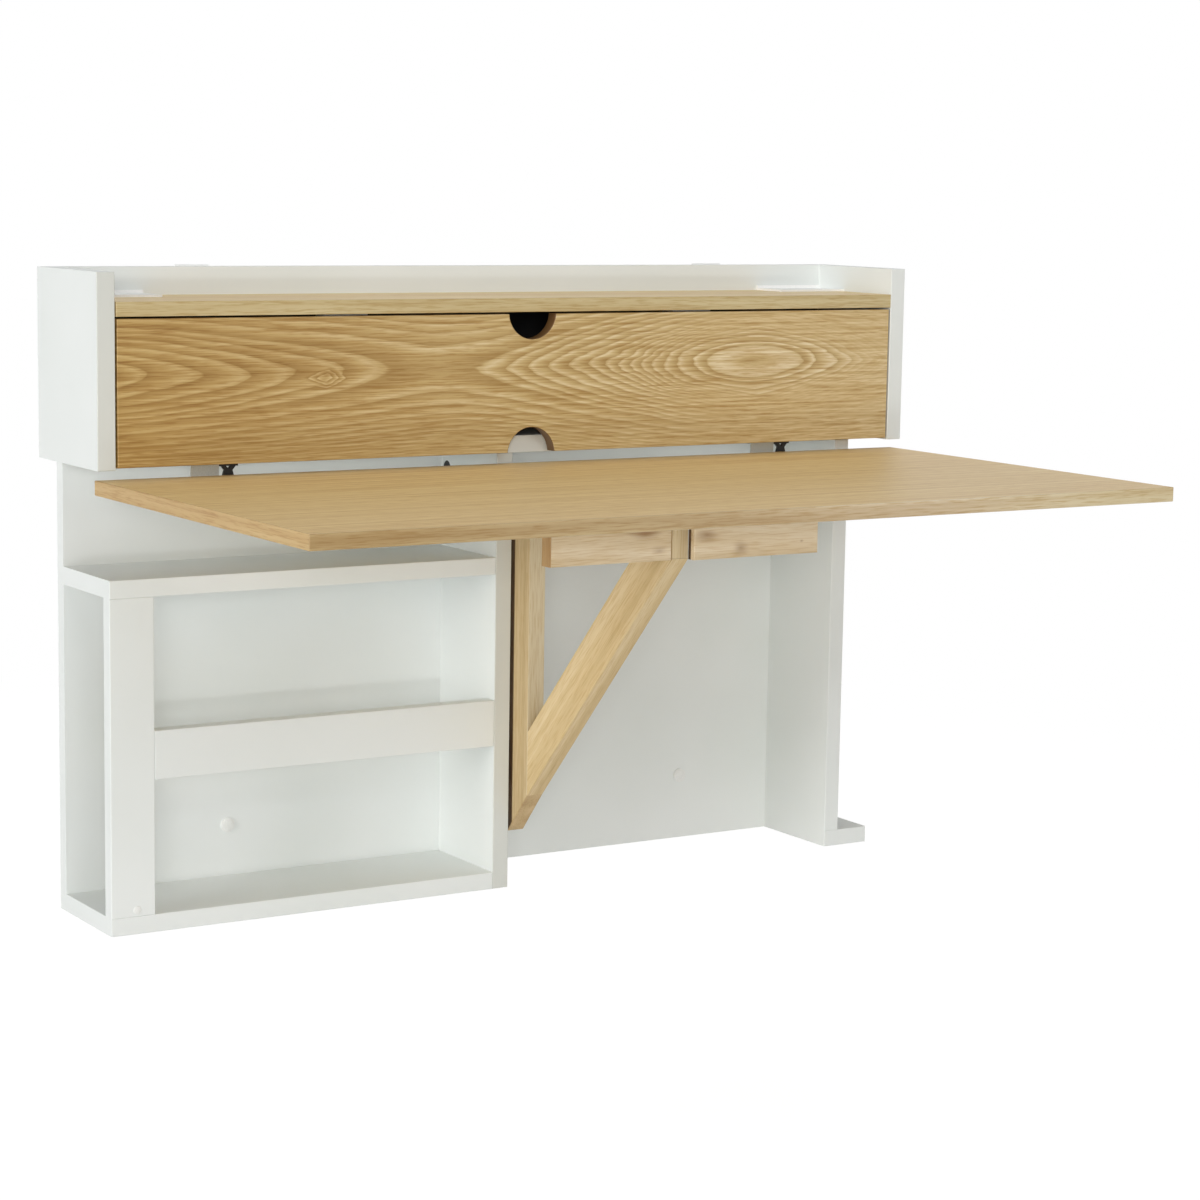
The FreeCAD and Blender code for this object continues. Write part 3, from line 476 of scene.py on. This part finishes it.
# %% Solid wood bars
BAR_STOPS = [(0.3, "#C9AE7C"), (0.5, "#D5BC8C"), (0.7, "#DFC99F")]
BATTEN_STOPS = [(0.3, "#CDB893"), (0.5, "#DCCAAA"), (0.7, "#E6D8BE")]
BRACE_SLOPE = math.radians(46.3)
SAWN_STOPS = [(0.3, "#9C7A4C"), (0.5, "#AE8B5A"), (0.7, "#BC9C6C")]
FOOT_STOPS = [(0.3, "#B29463"), (0.5, "#BFA272"), (0.7, "#CCB183")]
RAIL_END_STOPS = [(0.3, "#C2AF8A"), (0.5, "#D3C29E"), (0.7, "#DED0B0")]
# Painted light: the upright's front face is paler than its sides.
STILE_FRONT_LIGHT_STOPS = [(0.3, "#C8B590"), (0.5, "#D5C5A2"), (0.7, "#DCCFB1")]
STILE_STOPS = [(0.3, "#B79E72"), (0.5, "#C4AD82"), (0.7, "#CFBA94")]
# Painted shade: the right batten's left end, in the dark gap beside the rail's end.
SHADED_END_STOPS = [(0.3, "#3A2918"), (0.5, "#4A3420"), (0.7, "#5A4128")]
# Painted shade: the narrow gap beside the divider darkens the upright's rear strip.
REAR_SHADE_STOPS = [(0.3, "#4A3420"), (0.5, "#5A4228"), (0.7, "#664C30")]
BAR_BAND_MM = (900.0, 12.0)
BATTEN_BAND_MM = (240.0, 11.0)
BAR_PORE = "#F0E8DA"
BAR_ROUGHNESS = 0.5
REAR_CENTRE, REAR_SCALE = -0.1258, 0.2
PLANED_SCALE = 0.15
BATTEN_MARKS = [((-37, -421, 100), (26, 30, 9)), ((-21, -421, 83), (20, 30, 7)), ((25, -431, 97), (22, 30, 9)),
                ((63, -431, 83), (16, 30, 10)), ((133, -431, 86), (4, 30, 3))]

stile_low, stile_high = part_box("gate_stile")
foot_front = Vector((0, stile_low[1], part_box("gate_brace")[0][2]))
foot_back = Vector((0, stile_high[1], stile_low[2]))
foot_normal = (foot_back - foot_front).cross(Vector((1, 0, 0))).normalized()
upright = (0, QUARTER, 0)
# The rear strip of the upright, beside the divider, takes painted shade.
rear_shade_strip = [((0, REAR_CENTRE, 0), (0, REAR_SCALE, 0))]
stile_faces = [([(stile_low, ACROSS_Y)], upright, STILE_FRONT_LIGHT_STOPS), (rear_shade_strip, upright, REAR_SHADE_STOPS),
               ([(foot_front, foot_normal)], upright, FOOT_STOPS)]
rail_faces = [([(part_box("gate_top_rail")[0], ACROSS_Y)], upright, RAIL_END_STOPS)]
batten_ends = [(corner, ACROSS_X) for name in ("batten_left", "batten_right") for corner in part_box(name)]
upright_wood = straight_wood("rubberwood_upright", STILE_STOPS, BAR_PORE, upright, BAR_ROUGHNESS, stile_faces,
                             BAR_BAND_MM)
rail_wood = straight_wood("rubberwood_rail", BAR_STOPS, BAR_PORE, (0, 0, QUARTER), BAR_ROUGHNESS, rail_faces,
                          BAR_BAND_MM)
brace_wood = straight_wood("rubberwood_brace", BAR_STOPS, BAR_PORE, (BRACE_SLOPE, 0, QUARTER), BAR_ROUGHNESS, (),
                           BAR_BAND_MM)
# Painted shade on the right batten's left end; its front few millimetres keep the batten's own colour.
shaded_end = [(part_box("batten_right")[0], ACROSS_X)]
planed_front = [(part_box("batten_right")[0], (0, PLANED_SCALE, 0))]
batten_faces = [(batten_ends, upright, SAWN_STOPS), (shaded_end, upright, SHADED_END_STOPS),
                (planed_front, (0, 0, 0), BATTEN_STOPS)]
batten_wood = straight_wood("rubberwood_batten", BATTEN_STOPS, BAR_PORE, (0, 0, 0), BAR_ROUGHNESS, batten_faces,
                            BATTEN_BAND_MM, BATTEN_MARKS)
dress(upright_wood, "gate_stile")
dress(rail_wood, "gate_top_rail")
dress(brace_wood, "gate_brace")
dress(batten_wood, "batten_left", "batten_right", "carcass_dowels", "batten_dowels", "gate_dowels")
print("gate bars and battens dressed")

# %% [markdown]
# ## Metal and plastic
# The leaf hinges are black-coated pressed steel with a satin sheen, and the angles beside them are grey. The plates
# of the tray are white, the other metal is zinc-plated, and the caps, rings, catches and bushes are white moulded
# plastic. Each gets a fine grain in its colour and bump, so that none is a flat tone.

# %% Metal and plastic finishes
def fitting(name, stops, metallic, roughness, grain_mm, bump_mm):
    """A small fitting's finish: a narrow ramp of colours over a fine grain, and a shallow bump."""
    material, tree = new_material(name)
    place = add(tree, "ShaderNodeTexCoord").outputs["Object"]
    grain = add(tree, "ShaderNodeTexNoise", {"Vector": place, "Scale": 1000 / grain_mm, "Detail": 2.0}).outputs["Fac"]
    colour = add(tree, "ShaderNodeValToRGB", {"Fac": grain}, stops).outputs["Color"]
    surface(tree, {"Base Color": colour, "Metallic": metallic, "Roughness": roughness}, grain, bump_mm)
    return material


black_steel = fitting("black_coated_steel", [(0.3, "#0C0C0C"), (0.7, "#191919")], 0.0, 0.42, 1.2, 0.02)
zinc_steel = fitting("zinc_plated_steel", [(0.3, "#A6A8A8"), (0.7, "#C2C2BE")], 1.0, 0.35, 3.0, 0.01)
white_enamel = fitting("white_powder_coat", [(0.3, "#F4F4F2"), (0.7, "#FAFAF8")], 0.0, 0.4, 1.5, 0.02)
white_plastic = fitting("white_moulded_plastic", [(0.3, "#E6E7E4"), (0.7, "#EDEEEB")], 0.0, 0.45, 1.5, 0.01)
grey_enamel = fitting("grey_primer_coat", [(0.3, "#C2C4BE"), (0.7, "#D0D2CC")], 0.0, 0.5, 1.5, 0.02)
dress(black_steel, "leaf_hinge_arms", "leaf_hinge_cups", "cam_fittings")
dress(zinc_steel, "leaf_hinge_pins", "flap_pivot_pins", "gate_hinge_fixed_leaves", "gate_hinge_moving_leaves",
      "gate_hinge_pins", "carcass_hinge_screws", "leaf_hinge_screws", "gate_hinge_screws", "catch_strike_plates")
dress(white_enamel, "shelf_angle_plates", "hanger_plates")
dress(grey_enamel, "leaf_hinge_wings")
dress(white_plastic, "wall_cup_washers", "post_screw_cap", "magnet_catches", "flap_pivot_bushes")
print("fittings dressed")

# %% [markdown]
# ## Screws with a cross recess
# A pan-head screw is a turned shape: a profile of radius against height, carried round an axis. The driver's cross
# can't come from a profile, so the height of the head also depends on the angle: inside two crossed slots it drops.
# Working the whole head out as one grid of radius and angle keeps every screw a single closed skin.

# %% Turned surfaces
TURN_STEPS = 64
SHARP_ANGLE = math.radians(32)


def turned(profile, seat, axis, sink=None):
    """seat + h axis + r (cos a U + sin a V) for each (r, h) of the profile and each angle a, less a sink(r, a)."""
    axis = np.array(axis, float)
    helper = np.array((0.0, 0.0, 1.0)) if abs(axis[2]) < 0.5 else np.array((1.0, 0.0, 0.0))
    u = np.cross(helper, axis)
    v = np.cross(axis, u)
    angle = np.linspace(0, 2 * math.pi, TURN_STEPS, endpoint=False)
    radius, height = np.array(profile[1:-1]).T
    high = height[:, None] - (sink(radius[:, None], angle[None, :], height[:, None]) if sink else 0.0)
    around = np.cos(angle)[:, None] * u + np.sin(angle)[:, None] * v
    rings = high[..., None] * axis + radius[:, None, None] * around[None]
    top_drop = float(sink(np.zeros(1), np.zeros(1), np.full(1, profile[0][1]))[0]) if sink else 0.0
    ends = np.array([(profile[0][1] - top_drop) * axis, profile[-1][1] * axis])
    points = np.concatenate([ends[:1], rings.reshape(-1, 3), ends[1:]]) + np.array(seat, float)
    here = np.arange(TURN_STEPS)
    after = (here + 1) % TURN_STEPS
    rows = 1 + TURN_STEPS * np.arange(len(radius))
    first, second = rows[:-1, None], rows[1:, None]
    quads = np.stack([first + here, second + here, second + after, first + after], -1).reshape(-1, 4)
    cap = np.stack([np.zeros_like(here), 1 + here, 1 + after], -1)
    tip = np.stack([np.full_like(here, len(points) - 1), rows[-1] + after, rows[-1] + here], -1)
    return points / 1000, quads.tolist() + cap.tolist() + tip.tolist()


def new_piece(name, parts, material, body, replaced=None):
    """One mesh from a list of (points, faces); it rides on a body and may stand for a CAD node."""
    starts = np.cumsum([0] + [len(points) for points, faces in parts[:-1]])
    points = np.concatenate([points for points, faces in parts])
    faces = [[corner + int(start) for corner in face] for start, (_, own) in zip(starts, parts) for face in own]
    mesh = bpy.data.meshes.new(name)
    mesh.from_pydata(points.tolist(), [], faces)
    mesh.polygons.foreach_set("use_smooth", [True] * len(mesh.polygons))
    mesh.set_sharp_from_angle(angle=SHARP_ANGLE)
    mesh.materials.append(material)
    piece = bpy.data.objects.new(name, mesh)
    bpy.context.scene.collection.objects.link(piece)
    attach(piece, body)
    if replaced:
        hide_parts(replaced)
    print(name, "vertices", len(mesh.vertices))
    return piece


print("turned surfaces with", TURN_STEPS, "steps")

# %% [markdown]
# The places below are the seats of the screws in millimetres: under the hinge arms, under the leaf's hinge cups, on
# the divider and on the back of the gate's upright. The recess is a smooth dip, deepest on the axis.

# %% Pan-head screws
HEAD_RADIUS = 3.4
HEAD_HEIGHT = 1.0
SHANK_RADIUS = 1.6
SHANK_LENGTH = 9.0
TIP_LENGTH = 1.2
RIM_WIDTH = 0.35
RIM_START, RIM_FALL = 0.2, 0.55
CROWN_FALL = 0.25
SLOT_HALF = 0.45
SLOT_REACH = 2.1
SLOT_DEPTH = 0.75
SLOT_SOFT, SLOT_FADE = 0.12, 0.5
SLOT_ABOVE = 0.4
LEAF_HINGE_X = 322
ARM_SCREW_X, ARM_SCREW_Y, ARM_SEAT_Z = 5, (-84.0, -106.4), 146.5
CUP_SCREW_X, CUP_SCREW_Y, CUP_SEAT_Z = 21.65, -155.7, 123.1
GATE_HINGE_Z, GATE_SCREW_Z = (-170.0, 85.0), 12.5
DIVIDER_SEAT = (-9.5, -103.8)
STILE_SEAT = (1.2, -120.5)


def cross_recess(radius, angle, height):
    """Depth inside two crossed slots: full within SLOT_HALF of either arm, fading out towards SLOT_REACH."""
    x, y = np.abs(radius * np.cos(angle)), np.abs(radius * np.sin(angle))
    narrow = np.clip((SLOT_HALF + SLOT_SOFT - np.minimum(x, y)) / SLOT_SOFT, 0, 1)
    fade = np.clip((SLOT_REACH - np.maximum(x, y)) / SLOT_FADE, 0, 1)
    return SLOT_DEPTH * narrow * fade * (height > SLOT_ABOVE)


def screw(seat, axis):
    """Crown, rim, underside, shank and tip of one screw; the shank points along the axis."""
    across = np.linspace(0, 1, 15)[1:] * (HEAD_RADIUS - RIM_WIDTH)
    crown = [(r, HEAD_HEIGHT - CROWN_FALL * (r / HEAD_RADIUS) ** 2) for r in across]
    turn = np.linspace(0, math.pi / 2, 5)[1:]
    rim = [(HEAD_RADIUS - RIM_WIDTH * (1 - math.sin(t)), HEAD_HEIGHT - RIM_START - RIM_FALL * (1 - math.cos(t)))
           for t in turn]
    shank = [(HEAD_RADIUS, 0.0), (SHANK_RADIUS, 0.0), (SHANK_RADIUS, TIP_LENGTH - SHANK_LENGTH)]
    profile = [(0.0, HEAD_HEIGHT)] + crown + rim + shank + [(0.0, -SHANK_LENGTH)]
    return turned(profile, seat, tuple(-value for value in axis), cross_recess)


arm_seats = [(side * LEAF_HINGE_X + edge * ARM_SCREW_X, y, ARM_SEAT_Z)
             for side in (-1, 1) for y in ARM_SCREW_Y for edge in (-1, 1)]
cup_seats = [(side * LEAF_HINGE_X + edge * CUP_SCREW_X, CUP_SCREW_Y, CUP_SEAT_Z)
             for side in (-1, 1) for edge in (-1, 1)]
hinge_heights = [centre + half for centre in GATE_HINGE_Z for half in (-GATE_SCREW_Z, GATE_SCREW_Z)]
carcass_screws = [screw(seat, (0, 0, 1)) for seat in arm_seats]
carcass_screws += [screw((*DIVIDER_SEAT, z), (-1, 0, 0)) for z in hinge_heights]
new_piece("carcass_screws", carcass_screws, zinc_steel, "carcass", "carcass_hinge_screws")
leaf_screws = [screw(seat, (0, 0, 1)) for seat in cup_seats]
new_piece("leaf_screws", leaf_screws, zinc_steel, "leaf", "leaf_hinge_screws")
gate_screws = [screw((*STILE_SEAT, z), (0, -1, 0)) for z in hinge_heights]
new_piece("gate_screws", gate_screws, zinc_steel, "gate", "gate_hinge_screws")

# %% [markdown]
# ## Domed caps
# White plastic caps cover the wall screws and the screw in the post. Each is a shallow dome on a short straight rim,
# turned from a quarter of an ellipse, so its edge catches a thin line of light.

# %% Screw caps
WALL_X, WALL_Z = 273.0, 230.0
WASHER_FACE = -16.6
WALL_DOME = (6.2, 0.7, 0.2)
POST_DOME = (4.0, 0.6, 0.2)


def dome(seat, radius, rise, rim):
    """A quarter ellipse r = R sin t, h = rim + rise cos t, on a straight rim, turned about -Y."""
    turn = np.linspace(0, math.pi / 2, 12)
    bow = [(radius * math.sin(t), rim + rise * math.cos(t)) for t in turn]
    return turned(bow + [(radius, 0.0), (0.0, 0.0)], seat, (0, -1, 0))


wall_caps = [dome((side * WALL_X, WASHER_FACE, row * WALL_Z), *WALL_DOME) for side in (-1, 1) for row in (-1, 1)]
new_piece("wall_screw_caps", wall_caps, white_plastic, "carcass")
cap_low, cap_high = (np.array(corner) * 1000 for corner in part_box("post_screw_cap"))
cap_seat = ((cap_low[0] + cap_high[0]) / 2, cap_high[1], (cap_low[2] + cap_high[2]) / 2)
new_piece("post_cap", [dome(cap_seat, *POST_DOME)], white_plastic, "carcass", "post_screw_cap")

# %% [markdown]
# ## Light, floor and background
# A product picture of this kind is lit from large soft boxes with white all round. The world gives the even part.
# A box at the left gives the left faces their extra light, one near the camera opens up what the camera looks into,
# and three smaller ones, high, low and overhead, reach the floors of the shelves, the space under the leaf and the
# leaf itself. One more stands behind, for a look at the wall side, and no gloss mirrors it. The floor is far below
# the desk, because the desk hangs on a wall. The camera and glossy faces see the world as plain white, and the floor as
# white paint that glows just enough to meet it, so the desk's soft shadow stays. From below, the floor is clear.

# %% Light and floor
FLOOR_HEIGHT = -0.60
FLOOR_SIZE = 30.0
SKY_LEVEL = 0.27
FLOOR_GLOW = 0.76
FLOOR_TONE = "#F4F4F2"
SHOWN_TONE = "#B4B4B3"
FLOOR_NEAR = 1.2
FLOOR_FAR = 3.0
LAMP_AIM = Vector((0.0, -0.2, 0.0))
LAMPS = {"side_box": ((-7.5, -2.0, 1.2), (3.4, 3.4), 262.0),
         "camera_box": ((-3.8, -6.8, 1.15), (2.0, 1.2), 108.0),
         "high_box": ((-0.5, -5.2, 3.2), (3.0, 1.5), 50.0),
         "low_box": ((-1.5, -6.5, -0.45), (3.0, 0.25), 41.0),
         "top_box": ((-0.3, -0.9, 3.6), (2.4, 2.4), 22.0),
         "back_box": ((0.8, 6.5, 1.6), (3.0, 2.0), 130.0)}
UNMIRRORED = "back_box"

world = bpy.data.worlds.new("white_studio")
bpy.context.scene.world = world
world.use_nodes = True
tree = world.node_tree
tree.nodes.clear()
rays = add(tree, "ShaderNodeLightPath").outputs
seen = add(tree, "ShaderNodeMath", {0: rays["Is Camera Ray"], 1: rays["Is Glossy Ray"]},
           operation="MAXIMUM").outputs[0]
seen = add(tree, "ShaderNodeMath", {0: seen, 1: rays["Is Transmission Ray"]}, operation="MAXIMUM").outputs[0]
glow = add(tree, "ShaderNodeBackground", {"Color": linear(WHITE), "Strength": SKY_LEVEL})
white = add(tree, "ShaderNodeBackground", {"Color": linear(WHITE), "Strength": 1.0})
mixed = add(tree, "ShaderNodeMixShader", {0: seen, 1: glow.outputs[0], 2: white.outputs[0]})
add(tree, "ShaderNodeOutputWorld", {"Surface": mixed.outputs[0]})

floor_paint, tree = new_material("white_floor_paint")
rays = add(tree, "ShaderNodeLightPath").outputs
seen = add(tree, "ShaderNodeMath", {0: rays["Is Camera Ray"], 1: rays["Is Glossy Ray"]},
           operation="MAXIMUM").outputs[0]
matt = add(tree, "ShaderNodeBsdfDiffuse", {"Color": linear(FLOOR_TONE)})
pale = add(tree, "ShaderNodeBsdfDiffuse", {"Color": linear(SHOWN_TONE)})
glow = add(tree, "ShaderNodeEmission", {"Color": linear(WHITE), "Strength": FLOOR_GLOW})
near = add(tree, "ShaderNodeAddShader", {0: pale.outputs[0], 1: glow.outputs[0]})
white = add(tree, "ShaderNodeEmission", {"Color": linear(WHITE), "Strength": 1.0})
place = add(tree, "ShaderNodeTexCoord").outputs["Object"]
spot = add(tree, "ShaderNodeVectorMath", {0: place, 1: (0, 0, FLOOR_HEIGHT)}, operation="DISTANCE").outputs["Value"]
away = add(tree, "ShaderNodeMapRange", {"Value": spot, "From Min": FLOOR_NEAR, "From Max": FLOOR_FAR},
           interpolation_type="SMOOTHSTEP").outputs[0]
shown = add(tree, "ShaderNodeMixShader", {0: away, 1: near.outputs[0], 2: white.outputs[0]})
mixed = add(tree, "ShaderNodeMixShader", {0: seen, 1: matt.outputs[0], 2: shown.outputs[0]})
below = add(tree, "ShaderNodeNewGeometry").outputs["Backfacing"]
clear = add(tree, "ShaderNodeBsdfTransparent")
mixed = add(tree, "ShaderNodeMixShader", {0: below, 1: mixed.outputs[0], 2: clear.outputs[0]})
add(tree, "ShaderNodeOutputMaterial", {"Surface": mixed.outputs[0]})
half = FLOOR_SIZE / 2
floor_mesh = bpy.data.meshes.new("floor")
floor_mesh.from_pydata([(-half, -half, FLOOR_HEIGHT), (half, -half, FLOOR_HEIGHT), (half, half, FLOOR_HEIGHT),
                        (-half, half, FLOOR_HEIGHT)], [], [(0, 1, 2, 3)])
floor_mesh.materials.append(floor_paint)
floor = bpy.data.objects.new("floor", floor_mesh)
bpy.context.scene.collection.objects.link(floor)

for name, (lamp_place, lamp_size, lamp_watts) in LAMPS.items():
    lamp_data = bpy.data.lights.new(name, "AREA")
    lamp_data.shape = "RECTANGLE"
    lamp_data.size, lamp_data.size_y = lamp_size
    lamp_data.energy = lamp_watts
    lamp = bpy.data.objects.new(name, lamp_data)
    lamp.location = lamp_place
    lamp.visible_glossy = name != UNMIRRORED
    lamp.rotation_euler = (LAMP_AIM - Vector(lamp_place)).to_track_quat("-Z", "Y").to_euler()
    bpy.context.scene.collection.objects.link(lamp)
bpy.context.scene.view_settings.view_transform = "Standard"
print("lamps", len(LAMPS), "sky", SKY_LEVEL)
